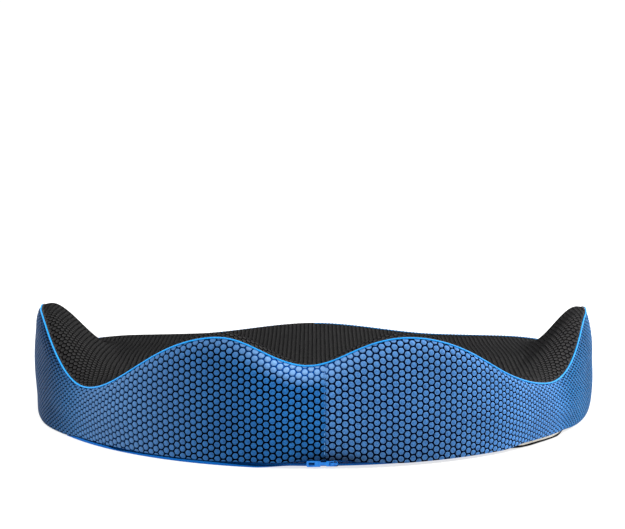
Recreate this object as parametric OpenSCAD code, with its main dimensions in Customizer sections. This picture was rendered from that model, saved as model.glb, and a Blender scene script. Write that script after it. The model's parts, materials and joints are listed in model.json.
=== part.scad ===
// Contoured seat cushion: foam core in a liner, inside a zipped cover.
// Millimetres. +Z up, -Y is the rear of the seat, z = 0 is the floor.
// "arc" below is always a distance along the rim, measured from the rear
// centre: positive on the +X side, negative on the -X side.

/* [Outline] */
// Radius of the half-round rear
rear_radius = 230; // [200:1:260]
// How far forward of the middle the widest line lies
wide_y = 30; // [0:1:60]
// Front edge, forward of the middle
front_y = 200; // [180:1:220]
// Radius of the long side runs
side_radius = 450; // [300:10:800]
// Angle the side runs turn through
side_turn = 10; // [5:1:14]
// Radius of the front corners
corner_radius = 85; // [60:1:100]

/* [Rim heights] */
// Height of the top seam at the rear centre
rear_dip_z = 76.5; // [60:0.5:90]
// Height of the top seam on the two rear humps
hump_z = 95.5; // [80:0.5:105]
// Height of the top seam in the dips behind the hips
hip_dip_z = 43.5; // [35:0.5:60]
// Height of the top seam on the side wings
wing_z = 84; // [60:0.5:95]
// Height of the top seam at the front corners
corner_z = 31; // [26:0.5:65]
// Height of the top seam under the thighs
thigh_z = 29; // [26:0.5:60]
// Height of the top seam at the front centre
front_z = 37; // [28:0.5:65]
// Distance along the rim to the hump
hump_arc = 70; // [50:1:90]
// Distance along the rim to the hip dip
hip_arc = 214; // [180:1:240]
// Distance along the rim to the start of the wing
wing_arc = 320; // [300:1:345]
// Distance along the rim to the end of the wing
wing_end_arc = 350; // [346:1:420]
// Distance along the rim to the front corner
corner_arc = 480; // [450:1:530]
// Distance along the rim to the thigh dip
thigh_arc = 590; // [550:1:640]

/* [Seat surface] */
// How far the padding crowns above the top seam at the rear
crown_h = 4; // [2:0.5:8]
// Share of that crown left on the wings and at the front
wing_crown = 0.55; // [0.2:0.05:1]
// How far in from the rim the crown peaks
crown_in = 14; // [10:1:30]
// How far in from the rim the slope into the seat ends
slope_in = 58; // [50:1:110]
// Height of the seat floor at the rear
bowl_z = 46; // [40:0.5:60]
// Height of the seat floor at the front
seat_front_z = 35; // [30:0.5:65]
// Depth of the two sit-bone hollows
hollow_depth = 4; // [0:0.5:8]
// Height of the ridge between the thighs
ridge_h = 5; // [0:0.5:12]

/* [Cloth] */
// Thickness of the padded mesh cloth
mesh_t = 2; // [1:0.1:4]
// Thickness of the knitted liner
liner_t = 0.7; // [0.4:0.1:1.5]
// Thickness of the anti-slip cloth
base_t = 0.6; // [0.4:0.1:1.2]
// Height of the grip dots
dot_h = 0.8; // [0.5:0.1:1.5]
// Radius of a grip dot
dot_r = 3; // [2:0.5:4]
// Spacing of the grip dots
dot_pitch = 26; // [20:1:40]
// Radius of the piping cord
piping_r = 0.9; // [0.6:0.05:2]
// Where the rear seam of the side band sits along the rim
seam_arc = 8.2; // [5:0.1:14]

/* [Zip] */
// Height of the zip line
zip_z = 3.7; // [3.5:0.1:5]
// Half angle the zip covers, about the rear arc centre
zip_half_angle = 57.5; // [50:0.5:60]
// Radius to the outer face of the zip tapes
tape_face_r = 225; // [224:0.1:226]
// Tape thickness
tape_t = 0.5; // [0.3:0.1:0.8]
// Radius of one coil row
coil_r = 0.55; // [0.4:0.05:0.8]
// Half the space between the two coil rows
coil_gap = 0.55; // [0.5:0.05:0.8]
// Where the slider stands, as an angle about the rear arc centre
slider_angle = 3.5; // [-50:0.5:35]
// Length of the slider
slider_len = 7; // [6:0.5:9]
// Reach of the pull tab from its pivot
tab_len = 20; // [15:1:28]

/* [Hidden] */
$fn = 64;

// The front radius and its share of the turn follow from the other arcs.
corner_step = side_radius - corner_radius;
front_px = rear_radius - side_radius + corner_step * cos(side_turn);
front_py = front_y - wide_y - corner_step * sin(side_turn);
front_radius = (front_px * front_px + front_py * front_py
                - corner_radius * corner_radius)
               / (2 * (front_py - corner_radius));
corner_turn = atan2(front_radius - front_py, front_px);

// Arc lengths at which one radius hands over to the next.
per_degree = PI / 180;
rear_end = rear_radius * 90 * per_degree;
side_end = rear_end + side_radius * side_turn * per_degree;
corner_end = side_end
             + corner_radius * (corner_turn - side_turn) * per_degree;
half_rim = corner_end + front_radius * (90 - corner_turn) * per_degree;

// Heading of the outward normal, 0 at the rear centre, 180 at the front.
function heading_half(s) =
    s <= rear_end ? s / rear_radius / per_degree
    : s <= side_end ? 90 + (s - rear_end) / side_radius / per_degree
    : s <= corner_end
      ? 90 + side_turn + (s - side_end) / corner_radius / per_degree
    : 90 + corner_turn + (s - corner_end) / front_radius / per_degree;
function heading(s) = s < 0 ? -heading_half(-s) : heading_half(s);

function arc_radius(s) =
    s <= rear_end ? rear_radius
    : s <= side_end ? side_radius
    : s <= corner_end ? corner_radius
    : front_radius;
function arc_center(s) =
    s <= rear_end ? [0, wide_y]
    : s <= side_end ? [rear_radius - side_radius, wide_y]
    : s <= corner_end
      ? [rear_radius - side_radius + corner_step * cos(side_turn),
         wide_y + corner_step * sin(side_turn)]
    : [0, front_y - front_radius];

function normal(s) = [sin(heading(s)), -cos(heading(s))];
function mirrored(p, s) = s < 0 ? [-p[0], p[1]] : p;
// A point on the outline at arc s, set in by d.
function rim(s, d) =
    mirrored(arc_center(abs(s))
             + (arc_radius(abs(s)) - d) * normal(abs(s)), s);

function ease(a, b, x) =
    let (t = max(0, min(1, (x - a) / (b - a)))) t * t * (3 - 2 * t);
function between(a, b, t) = a + (b - a) * t;
function swell(x, w) = exp(-x * x / (w * w));

// Height of the top seam along the rim.
function seam_z(s) =
    let (a = abs(s))
    a < hump_arc
      ? between(rear_dip_z, hump_z, ease(0, hump_arc, a))
    : a < hip_arc
      ? between(hump_z, hip_dip_z, ease(hump_arc, hip_arc, a))
    : a < wing_end_arc
      ? between(hip_dip_z, wing_z, ease(hip_arc, wing_arc, a))
    : a < corner_arc
      ? between(wing_z, corner_z, ease(wing_end_arc, corner_arc, a))
    : a < thigh_arc
      ? between(corner_z, thigh_z, ease(corner_arc, thigh_arc, a))
    : between(thigh_z, front_z, ease(thigh_arc, half_rim, a));

// The seat floor the rim slopes down to.
function floor_z(p) =
    between(bowl_z, seat_front_z, ease(-20, 140, p[1]))
    + ridge_h * swell(p[0], 42) * ease(10, 130, p[1])
    - hollow_depth * swell(abs(p[0]) - 60, 52) * swell(p[1] + 35, 75);

// Rays run from the rim to this middle; t is the share of the way.
middle = [0, 15];
function ray_len(s) = norm(middle - rim(s, 0));
function ray_point(s, t) = between(rim(s, 0), middle, t);
function ray_share(s, d) =
    d / (ray_len(s)
         * -(normal(s) * (middle - rim(s, 0)) / ray_len(s)));

function surface_z(s, t) =
    let (u = t * ray_len(s),
         w = ease(crown_in * 0.3, slope_in, u),
         share = between(1, wing_crown, ease(hip_arc, wing_arc, abs(s))),
         lift = crown_h * share * sin(90 * min(1, u / crown_in)))
    between(seam_z(s) + 0.6 + lift, floor_z(ray_point(s, t)), w);

// Stations along the rim and rings toward the middle.
half_count = 46;
count = 2 * half_count;
step = half_rim / half_count;
stations = [for (i = [0 : count - 1]) step * (i - half_count + 1)];
ring_count = 12;
function ring_t(j) = pow(j / ring_count, 1.4);

// One ring of a layer: ring 0 sits at inset d on the chord to ring 1.
function edge_point(s, d, drop) =
    let (q = ray_share(s, d),
         z = between(surface_z(s, 0), surface_z(s, ring_t(1)),
                     q / ring_t(1)))
    [ray_point(s, q)[0], ray_point(s, q)[1], z - drop];
function ring_point(s, j, drop) =
    let (p = ray_point(s, ring_t(j)))
    [p[0], p[1], surface_z(s, ring_t(j)) - drop];
function layer_top(d, drop) = concat(
    [for (s = stations) edge_point(s, d, drop)],
    [for (j = [1 : ring_count - 1], s = stations) ring_point(s, j, drop)]);
function level_ring(d, z) =
    [for (s = stations) [rim(s, d)[0], rim(s, d)[1], z]];
function crown_point(drop) = [middle[0], middle[1],
                              floor_z(middle) - drop];

// Faces joining ring a (first point index) to ring b.
function band_faces(a, b, n) = [
    for (i = [0 : n - 1]) [a + i, b + i, b + (i + 1) % n],
    for (i = [0 : n - 1]) [a + i, b + (i + 1) % n, a + (i + 1) % n]];
function fan_faces(a, tip, n) =
    [for (i = [0 : n - 1]) [a + i, tip, a + (i + 1) % n]];
function turned(faces) = [for (f = faces) [f[0], f[2], f[1]]];
function grid_faces(first, rings, n) =
    [for (j = [0 : rings - 2])
        each band_faces(first + j * n, first + (j + 1) * n, n)];

// A filled layer: crowned top, walls through the given levels, flat base.
module filled(d, drop, levels) {
    top = layer_top(d, drop);
    walls = [for (v = levels) each level_ring(v[0], v[1])];
    points = concat(top, [crown_point(drop)], walls, [[0, 0, levels[len(levels) - 1][1]]]);
    tip = len(top);
    wall = tip + 1;
    last = wall + (len(levels) - 1) * count;
    faces = concat(
        grid_faces(0, ring_count, count),
        fan_faces((ring_count - 1) * count, tip, count),
        band_faces(wall, 0, count),
        [for (k = [0 : len(levels) - 2])
            each turned(band_faces(wall + k * count,
                                   wall + (k + 1) * count, count))],
        turned(fan_faces(last, len(points) - 1, count)));
    polyhedron(points = points, faces = turned(faces));
}

// A thin skin over the top: outer face, inner face, edge between them.
module top_skin(d, thick) {
    outer = layer_top(d, 0);
    inner = layer_top(d, thick);
    tip = len(outer);
    first = tip + 1;
    points = concat(outer, [crown_point(0)], inner, [crown_point(thick)]);
    faces = concat(
        grid_faces(0, ring_count, count),
        fan_faces((ring_count - 1) * count, tip, count),
        turned(grid_faces(first, ring_count, count)),
        turned(fan_faces(first + (ring_count - 1) * count,
                         first + tip, count)),
        band_faces(first, 0, count));
    polyhedron(points = points, faces = turned(faces));
}

// A sock: skin all round, with an opening under the middle.
module sock(d, drop, thick, levels, opening_t) {
    base_z = levels[len(levels) - 1][1];
    opening = [for (s = stations) ray_point(s, opening_t)];
    outer = concat(
        [for (k = [len(levels) - 1 : -1 : 0])
            each level_ring(levels[k][0], levels[k][1])],
        layer_top(d, drop));
    inner = concat(
        [for (k = [len(levels) - 1 : -1 : 0])
            each level_ring(levels[k][0] + thick,
                            max(levels[k][1], base_z + thick))],
        layer_top(d + thick, drop + thick));
    mouth_out = [for (p = opening) [p[0], p[1], base_z]];
    mouth_in = [for (p = opening) [p[0], p[1], base_z + thick]];
    rings = len(levels) + ring_count;
    side = rings * count;
    in0 = side + 1;
    mouth = 2 * in0;
    points = concat(outer, [crown_point(drop)],
                    inner, [crown_point(drop + thick)],
                    mouth_out, mouth_in);
    faces = concat(
        grid_faces(0, rings, count),
        fan_faces((rings - 1) * count, side, count),
        turned(grid_faces(in0, rings, count)),
        turned(fan_faces(in0 + (rings - 1) * count, in0 + side, count)),
        band_faces(mouth, 0, count),
        band_faces(mouth + count, mouth, count),
        turned(band_faces(mouth + count, in0, count)));
    polyhedron(points = points, faces = turned(faces));
}

// Sections joined in order; caps pair point k with its mirror point.
module swept(sections, looped) {
    n = len(sections[0]);
    m = len(sections);
    last = (m - 1) * n;
    points = [for (c = sections) each c];
    half = n / 2;
    faces = concat(
        [for (j = [0 : m - 2]) each band_faces(j * n, (j + 1) * n, n)],
        looped ? band_faces(last, 0, n)
        : concat(
            [for (k = [0 : half - 2])
                each [[k, k + 1, n - 2 - k], [k, n - 2 - k, n - 1 - k]]],
            [for (k = [0 : half - 2])
                each [[last + k, last + n - 2 - k, last + k + 1],
                      [last + k, last + n - 1 - k, last + n - 2 - k]]]));
    polyhedron(points = points, faces = faces);
}

// Side band: sewn under the piping, tucked in toward its lower edge.
band_face = 0.3;
tuck_z = 16;
tuck_in = 5;
zip_end_arc = rear_radius * (zip_half_angle + 3.3) * per_degree;
zip_fade = 28;
zip_edge_z = 6.4;
hem_z = 1.7;
function past_zip(s) = ease(zip_end_arc, zip_end_arc + zip_fade, abs(s));
function band_low(s) = between(zip_edge_z, hem_z, past_zip(s));
function tuck(z) =
    let (t = max(0, (tuck_z - z) / tuck_z))
    band_face + tuck_in * (1 - sqrt(1 - t * t));
function band_rows(s) =
    let (low = band_low(s), high = seam_z(s) - piping_r - 0.1)
    [high, between(high, tuck_z, 0.5), tuck_z,
     between(tuck_z, low, 0.4), between(tuck_z, low, 0.75), low];
function band_point(s, z, d) = [rim(s, d)[0], rim(s, d)[1], z];
function band_section(s) = concat(
    [for (z = band_rows(s)) band_point(s, z, tuck(z))],
    [for (k = [5 : -1 : 0])
        let (z = band_rows(s)[k]) band_point(s, z, tuck(z) + mesh_t)]);

seam_gap = 0.1;
left_arcs = concat([-half_rim + seam_gap],
                   [for (i = [1 - half_count : 0]) step * i],
                   [seam_arc - seam_gap]);
right_arcs = concat([seam_arc + seam_gap],
                    [for (i = [1 : half_count - 1]) step * i],
                    [half_rim - seam_gap]);

// Heights and insets of the inner layers where they turn under.
liner_levels = [[2.6, 16], [5.7, 10.3], [7.4, 6], [8.6, 2.1]];
foam_levels = [[3.7, 16.5], [6.8, 10.6], [8.5, 6.3], [9.7, 3.1]];
top_inset = 1.8;
liner_drop = mesh_t + 0.3;
foam_drop = liner_drop + liner_t + 0.4;

module foam_core() {
    color([0.94, 0.90, 0.80])
        filled(foam_levels[0][0], foam_drop, foam_levels);
}

module inner_liner() {
    color([0.88, 0.86, 0.80])
        sock(liner_levels[0][0], liner_drop, liner_t, liner_levels, 0.6);
}

module top_panel() {
    color([0.09, 0.09, 0.10]) top_skin(top_inset, mesh_t);
}

module side_band_left() {
    color([0.11, 0.35, 0.66])
        swept([for (s = left_arcs) band_section(s)], false);
}

module side_band_right() {
    color([0.16, 0.40, 0.70])
        swept([for (s = right_arcs) band_section(s)], false);
}

piping_sides = 8;
piping_in = 0.4;
module piping() {
    color([0.02, 0.55, 0.92])
        swept([for (s = stations)
                  [for (k = [0 : piping_sides - 1])
                      let (a = -360 * k / piping_sides)
                      band_point(s, seam_z(s) + piping_r * sin(a),
                                 piping_in + piping_r * cos(a))]],
              true);
}

// The anti-slip cloth stops short of the zip and reaches the band past it.
function base_inset(s) = between(9, 5.8, past_zip(s));
module bottom_panel() {
    color([0.06, 0.06, 0.07])
        translate([0, 0, dot_h])
        linear_extrude(base_t)
        polygon([for (s = stations) rim(s, base_inset(s))]);
}

// Dots in staggered rows, kept in from the edge of the cloth.
dot_margin = 24;
dot_row = dot_pitch * sin(60);
function dot_inside(p) =
    p[1] < wide_y
    ? norm(p - [0, wide_y]) < rear_radius - dot_margin
    : pow(abs(p[0]) / (rear_radius - dot_margin), 3)
      + pow((p[1] - wide_y) / (front_y - wide_y - dot_margin), 3) < 1;
dot_spots = [
    for (j = [-9 : 9], i = [-9 : 9])
        let (p = [dot_pitch * (i + (j % 2 == 0 ? 0 : 0.5)), dot_row * j])
        if (dot_inside(p)) p];
module grip_dots() {
    color([0.12, 0.12, 0.13])
        linear_extrude(dot_h)
        for (p = dot_spots) translate(p) circle(dot_r);
}

// Turns a piece drawn at the rear centre about the rear arc centre.
module about_rear(angle) {
    translate([0, wide_y, 0]) rotate([0, 0, angle]) children();
}
module rear_arc(half_angle) {
    about_rear(-90 - half_angle)
        rotate_extrude(angle = 2 * half_angle) children();
}
// Draws a flat shape in (across, up), thickened outward from radius r.
module plate(r, thick) {
    translate([0, -r, zip_z])
        rotate([90, 0, 0]) linear_extrude(thick) children();
}

tape_half_angle = zip_half_angle + 2.5;
tape_back_r = tape_face_r - tape_t;
module zip_tape_upper() {
    color([0.02, 0.30, 0.62])
        rear_arc(tape_half_angle)
        polygon([[tape_back_r, zip_z + coil_gap],
                 [tape_face_r, zip_z + coil_gap],
                 [tape_face_r, 7.2], [227.1, 12], [226.6, 12],
                 [tape_back_r, 7.4]]);
}

module zip_tape_lower() {
    color([0.02, 0.30, 0.62])
        rear_arc(tape_half_angle)
        polygon([[214, 1.5], [tape_face_r, 1.5],
                 [tape_face_r, zip_z - coil_gap],
                 [tape_back_r, zip_z - coil_gap],
                 [tape_back_r, 1.9], [214, 1.9]]);
}

coil_r0 = tape_face_r + 0.1 + coil_r;
coil_z = coil_gap + coil_r;
module zip_coil_upper() {
    color([0.03, 0.25, 0.55])
        rear_arc(zip_half_angle)
        translate([coil_r0, zip_z + coil_z]) circle(coil_r);
}

module zip_coil_lower() {
    color([0.03, 0.25, 0.55])
        rear_arc(zip_half_angle)
        translate([coil_r0, zip_z - coil_z]) circle(coil_r);
}

stop_len = 2.2;
stop_angle = zip_half_angle + 0.4;
stop_r = tape_face_r + 0.1;
module zip_top_stop_upper() {
    color([0.05, 0.40, 0.80])
        about_rear(stop_angle)
        plate(stop_r, 1.3)
        translate([0, coil_gap]) square([stop_len, 1.3]);
}

module zip_top_stop_lower() {
    color([0.05, 0.40, 0.80])
        about_rear(stop_angle)
        plate(stop_r, 1.3)
        translate([0, -coil_gap - 1.3]) square([stop_len, 1.3]);
}

module zip_bottom_stop() {
    color([0.05, 0.40, 0.80])
        about_rear(-stop_angle)
        plate(stop_r, 1.3)
        translate([-stop_len, -1.85]) square([stop_len, 3.7]);
}

// Slider: outer plate with rims round the coil, post, inner plate, arch.
running = 0.35;
plate_r = coil_r0 + coil_r + running;
plate_t = 0.8;
rim_z = coil_z + coil_r + running;
slider_half_z = rim_z + 0.45;
inner_t = 0.8;
inner_r = tape_back_r - running - inner_t;
arch_r = plate_r + plate_t;
arch_space = 1.7;
arch_t = 0.55;
arch_half_z = 0.8;
arch_half = 2.6;
module rounded(w, h, r) {
    square([w - 2 * r, h], center = true);
    square([w, h - 2 * r], center = true);
    for (x = [-1, 1], y = [-1, 1])
        translate([x * (w / 2 - r), y * (h / 2 - r)]) circle(r);
}
module slider_body() {
    color([0.05, 0.42, 0.85])
        about_rear(slider_angle) {
            plate(plate_r, plate_t)
                rounded(slider_len, 2 * slider_half_z, 1);
            for (side = [-1, 1])
                plate(tape_face_r + running,
                      plate_r - tape_face_r - running)
                    translate([0, side * (rim_z + slider_half_z) / 2])
                    square([slider_len - 2, slider_half_z - rim_z],
                           center = true);
            plate(inner_r + inner_t / 2, plate_r - inner_r - inner_t / 4)
                square([1.6, 0.5], center = true);
            plate(inner_r, inner_t)
                square([slider_len - 1, 2.6], center = true);
            for (side = [-1, 1])
                plate(arch_r - 0.2, arch_space + 0.4)
                    translate([side * (arch_half - 0.3), 0])
                    square([0.6, 2 * arch_half_z], center = true);
            plate(arch_r + arch_space, arch_t)
                square([2 * arch_half, 2 * arch_half_z], center = true);
        }
}

// Pull tab: pivot bar under the arch, two arms, plate with a window.
pivot_r = arch_r + arch_space / 2;
bar_r = 0.5;
arm_in = arch_half_z + running;
arm_out = 2;
tab_near = 3.3;
tab_half_z = 2.25;
tab_t = 1;
module tab_outline() {
    for (side = [-1, 1])
        translate([-tab_near / 2 - 0.1, side * (arm_in + arm_out) / 2])
            square([tab_near + 0.2, arm_out - arm_in], center = true);
    translate([-tab_near - 1, 0])
        square([2, 2 * arm_out], center = true);
    translate([-tab_near - 4, 0])
        square([5, 2 * arm_in], center = true);
    translate([-(tab_len + 9.5) / 2, 0])
        rounded(tab_len - 9.5, 2 * tab_half_z, 1);
}
module pull_tab() {
    color([0.07, 0.45, 0.88])
        about_rear(slider_angle) {
            translate([0, -pivot_r, zip_z - arm_out])
                cylinder(h = 2 * arm_out, r = bar_r);
            difference() {
                plate(pivot_r - tab_t / 2, tab_t) tab_outline();
                plate(pivot_r - tab_t, 2 * tab_t)
                    translate([-tab_len + 3.8, 0])
                    square([4.4, 2.2], center = true);
            }
        }
}

foam_core();
inner_liner();
top_panel();
side_band_left();
side_band_right();
piping();
bottom_panel();
grip_dots();
zip_tape_upper();
zip_tape_lower();
zip_coil_upper();
zip_coil_lower();
zip_top_stop_upper();
zip_top_stop_lower();
zip_bottom_stop();
slider_body();
pull_tab();
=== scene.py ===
"""Contoured seat cushion: cover of hexagon mesh, piping, zip, liner and foam."""
import json
import math

import bmesh
import bpy
import numpy as np
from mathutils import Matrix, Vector

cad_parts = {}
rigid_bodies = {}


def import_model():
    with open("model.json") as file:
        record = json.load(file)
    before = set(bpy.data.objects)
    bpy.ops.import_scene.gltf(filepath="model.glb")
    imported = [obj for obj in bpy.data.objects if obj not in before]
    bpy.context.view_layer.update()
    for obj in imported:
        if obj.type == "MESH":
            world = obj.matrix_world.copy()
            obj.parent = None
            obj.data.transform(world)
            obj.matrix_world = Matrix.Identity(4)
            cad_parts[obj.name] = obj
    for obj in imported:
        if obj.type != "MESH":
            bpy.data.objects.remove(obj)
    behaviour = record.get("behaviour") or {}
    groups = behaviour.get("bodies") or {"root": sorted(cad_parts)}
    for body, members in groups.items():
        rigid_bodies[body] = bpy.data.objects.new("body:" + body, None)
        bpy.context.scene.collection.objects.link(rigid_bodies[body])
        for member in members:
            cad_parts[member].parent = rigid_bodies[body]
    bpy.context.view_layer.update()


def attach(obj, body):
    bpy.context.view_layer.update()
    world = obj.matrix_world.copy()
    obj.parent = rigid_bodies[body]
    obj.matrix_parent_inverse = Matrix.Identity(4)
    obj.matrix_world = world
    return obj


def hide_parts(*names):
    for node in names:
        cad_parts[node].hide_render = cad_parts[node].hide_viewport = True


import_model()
MM = 0.001

# ---------------------------------------------------------------- the shape
# All lengths in this section are in millimetres, in the CAD frame.
# "s" is the distance along the rim from the rear centre, + on the +X side.
REAR_R, WIDE_Y, FRONT_Y = 230.0, 30.0, 200.0
SIDE_R, SIDE_TURN, CORNER_R = 450.0, math.radians(10), 85.0
CORNER_STEP = SIDE_R - CORNER_R
_px = REAR_R - SIDE_R + CORNER_STEP * math.cos(SIDE_TURN)
_py = FRONT_Y - WIDE_Y - CORNER_STEP * math.sin(SIDE_TURN)
FRONT_R = (_px**2 + _py**2 - CORNER_R**2) / (2 * (_py - CORNER_R))
CORNER_TURN = math.atan2(FRONT_R - _py, _px)
S_REAR = REAR_R * math.pi / 2
S_SIDE = S_REAR + SIDE_R * SIDE_TURN
S_CORNER = S_SIDE + CORNER_R * (CORNER_TURN - SIDE_TURN)
S_HALF = S_CORNER + FRONT_R * (math.pi / 2 - CORNER_TURN)
MIDDLE = np.array([0.0, 15.0])
SEAM_S = 8.2
ZIP_Z = 3.7
ZIP_HALF = math.radians(57.5)
ZIP_END_S = REAR_R * math.radians(60.8)
TAPE_END = math.radians(60)
SLIDER_ANGLE = math.radians(3.5)
SLIDER_S = 5.5  # middle of the slider with its tab
TUCK_Z = 16.0  # below this height the band curls in


def ease(a, b, x):
    t = np.clip((np.asarray(x, float) - a) / (b - a), 0, 1)
    return t * t * (3 - 2 * t)


def mix(a, b, t):
    return a + (b - a) * t


def swell(x, w):
    return np.exp(-((np.asarray(x, float) / w) ** 2))


def rim(s, inset=0.0):
    """Point on the outline and its outward normal, set in by inset."""
    s = np.asarray(s, float)
    a = np.abs(s)
    part = [a <= S_REAR, a <= S_SIDE, a <= S_CORNER]
    head = np.select(
        part,
        [
            a / REAR_R,
            math.pi / 2 + (a - S_REAR) / SIDE_R,
            math.pi / 2 + SIDE_TURN + (a - S_SIDE) / CORNER_R,
        ],
        math.pi / 2 + CORNER_TURN + (a - S_CORNER) / FRONT_R,
    )
    radius = np.select(part, [REAR_R, SIDE_R, CORNER_R], FRONT_R)
    side_x = REAR_R - SIDE_R
    cx = np.select(part, [0.0, side_x, side_x + CORNER_STEP * math.cos(SIDE_TURN)], 0.0)
    cy = np.select(
        part,
        [WIDE_Y, WIDE_Y, WIDE_Y + CORNER_STEP * math.sin(SIDE_TURN)],
        FRONT_Y - FRONT_R,
    )
    nx, ny = np.sin(head), -np.cos(head)
    sign = np.where(s < 0, -1.0, 1.0)
    reach = radius - inset
    return (
        np.stack([sign * (cx + reach * nx), cy + reach * ny], -1),
        np.stack([sign * nx, ny], -1),
    )


# Distance along the rim and height of the top seam: dip, hump, hip dip, wing, front.
RIM_KEYS = [
    (0, 77),
    (70, 96),
    (214, 43.5),
    (320, 84),
    (350, 84),
    (480, 31),
    (590, 29),
    (S_HALF, 37),
]


def rim_z(s):
    """Height of the top seam, its waves a little uneven from side to side."""
    s = np.asarray(s, float)
    s = s + 5 * swell(s, 60) + 4 * swell(s - 42, 28) + 1.5 * swell(s + 30, 25)
    right = 5 * ease(150, 210, s) * (1 - ease(278, 328, s))
    left = 2.0 * ease(-340, -290, s) * (1 - ease(-210, -150, s))
    s = s - right - left
    a = np.abs(s)
    a = a - 2.8 * swell(a - 118, 34)
    z = np.full(a.shape, RIM_KEYS[-1][1], float)
    for (s0, z0), (s1, z1) in reversed(list(zip(RIM_KEYS, RIM_KEYS[1:]))):
        z = np.where(a <= s1, mix(z0, z1, ease(s0, s1, a)), z)
    low = 2 * ease(285, 325, s) * (1 - ease(400, 470, s))
    return z - 1.3 * swell(s + 178, 48) + 1.3 * swell(s - 208, 28) - low


def floor_z(x, y):
    """Height of the seat's hollow floor."""
    z = mix(46.0, 35.0, ease(-20, 140, y))
    z = z + 5.0 * swell(x, 42) * ease(10, 130, y)
    return z - 4.0 * swell(np.abs(x) - 60, 52) * swell(y + 35, 75)


def seam_inset(s):
    """The cover rolls in over the foam's edge before the top seam."""
    a = np.abs(s)
    lean = 2.2 * ease(240, 305, s) * (1 - ease(400, 470, s))
    return 3.2 + 9.0 * swell(a, 45) + 1.6 * swell(a - 85, 45) + 1.5 * ease(480, 560, a) + lean


def seam_z(s):
    """Height of the top seam once the cover has rolled in."""
    _, n = rim(s)
    return rim_z(s) - 0.19 * seam_inset(s) * np.clip(-n[..., 1], 0, 1)


def open_zip(s):
    """1 where the zip stands open and the cover gapes, 0 elsewhere."""
    return ease(154, 180, s) * (1 - ease(226, 266, s))


def past_zip(s):
    """0 along the zip, 1 round the rest of the outline."""
    return ease(ZIP_END_S, ZIP_END_S + 28, np.abs(s))


def band_low(s):
    """Height of the band's lower edge: it hangs over the zip, and is lifted
    round the slider and where the zip stands open."""
    left = mix(mix(6.4, 4.4, ease(8, 28, -s)), 3.1, ease(34, 90, -s))
    right = mix(mix(6.4, 4.4, ease(22, 36, s)), 2.2, ease(36, 70, s)) + 2.2 * open_zip(s)
    end = np.where(s < 0, ease(210, 238, -s), ease(240, 280, s))
    return mix(np.where(s < 0, left, right), 0.65, end)


def tuck(s, z):
    """How far the band curls in at its lower edge: most round the slider and
    past the zip, where it goes under the cushion."""
    t = np.clip((TUCK_Z - z) / TUCK_Z, 0, 1)
    near = 1 - ease(12, 17.5, np.abs(s - SLIDER_S))
    far = ease(214, 262, s) + ease(430, 480, -s)
    under = np.clip(near + far, 0, 1)
    reach = mix(0.6, 5.0, under)
    bulge = 2.4 * swell(s + 272, 34) * t
    return mix(-0.2, 0.3, under) + reach * (1 - np.sqrt(1 - t * t)) - bulge


class Patch:
    """A surface sampled on a grid of (u, v), read back with its normals."""

    def __init__(self, us, vs, points):
        self.us, self.vs, self.p = us, vs, points
        du = np.gradient(points, us, axis=0)
        dv = np.gradient(points, vs, axis=1)
        n = np.cross(du, dv)
        size = np.linalg.norm(n, axis=-1, keepdims=True)
        self.n = n / np.maximum(size, 1e-9)

    def at(self, u, v):
        fu = np.clip((u - self.us[0]) / (self.us[1] - self.us[0]), 0, len(self.us) - 1.001)
        fv = np.clip((v - self.vs[0]) / (self.vs[1] - self.vs[0]), 0, len(self.vs) - 1.001)
        i, j = fu.astype(int), fv.astype(int)
        a, b = (fu - i)[:, None], (fv - j)[:, None]

        def read(g):
            return (
                g[i, j] * (1 - a) * (1 - b)
                + g[i + 1, j] * a * (1 - b)
                + g[i, j + 1] * (1 - a) * b
                + g[i + 1, j + 1] * a * b
            )

        n = read(self.n)
        return read(self.p), n / np.maximum(np.linalg.norm(n, axis=-1, keepdims=True), 1e-9)


# Side band: profile from its lower edge up to the piping, by arc length.
BAND_S = np.arange(-S_HALF - 4, S_HALF + 4.01, 2.0)


def wrap(s):
    """Arc length brought back to the range of the outline."""
    return np.where(s > S_HALF, s - 2 * S_HALF, np.where(s < -S_HALF, s + 2 * S_HALF, s))


def band_inset(s, z):
    """How far in the band lies at height z."""
    high = seam_z(s)
    roll = 13 + 13 * swell(s, 50) + 20 * ease(235, 300, s) * (1 - ease(400, 470, s))
    roll = np.minimum(roll, 0.6 * (high - 16))
    k = np.clip((z - (high - roll)) / roll, 0, 1)
    body = np.clip((z - 12) / np.maximum(high - roll - 12, 1), 0, 1)
    swellout = 1.1 * np.sin(math.pi * body) ** 1.2
    dimple = 0.5 * np.sin(s / 31.0 + 0.4) * np.sin(math.pi * body)
    dimple = dimple + 0.35 * np.sin(s / 12.5 + z / 17.0) * np.sin(math.pi * body)
    return tuck(s, z) + seam_inset(s) * k ** mix(2.1, 1.6, swell(s, 60)) - swellout - dimple


def band_profile(s, t):
    """Inset and height on the band, t from 0 at the lower edge to 1."""
    z = mix(band_low(s), seam_z(s), t)
    return band_inset(s, z), z


BAND_V = np.arange(0, 116, 1.0)


def make_band_patch():
    t = np.linspace(0, 1, 120)
    s = wrap(BAND_S)
    inset, z = band_profile(s[:, None], t[None, :])
    step = np.hypot(np.diff(inset, axis=1), np.diff(z, axis=1))
    run = np.concatenate([np.zeros((len(s), 1)), np.cumsum(step, axis=1)], axis=1)
    pts = np.zeros((len(s), len(BAND_V), 3))
    for i, si in enumerate(s):
        d = np.interp(BAND_V, run[i], inset[i])
        h = np.interp(BAND_V, run[i], z[i])
        xy, n = rim(np.full(len(d), si), d)
        over = np.maximum(BAND_V - run[i, -1], 0)
        pts[i, :, :2] = xy - n * over[:, None] * 0.7
        pts[i, :, 2] = h + over * 0.7
    return Patch(BAND_S, BAND_V, pts), run[:, -1]


band_patch, band_len = make_band_patch()

# Top panel: rays from the seam to the middle, by arc length from the middle.
TOP_RAYS = 720


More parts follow.
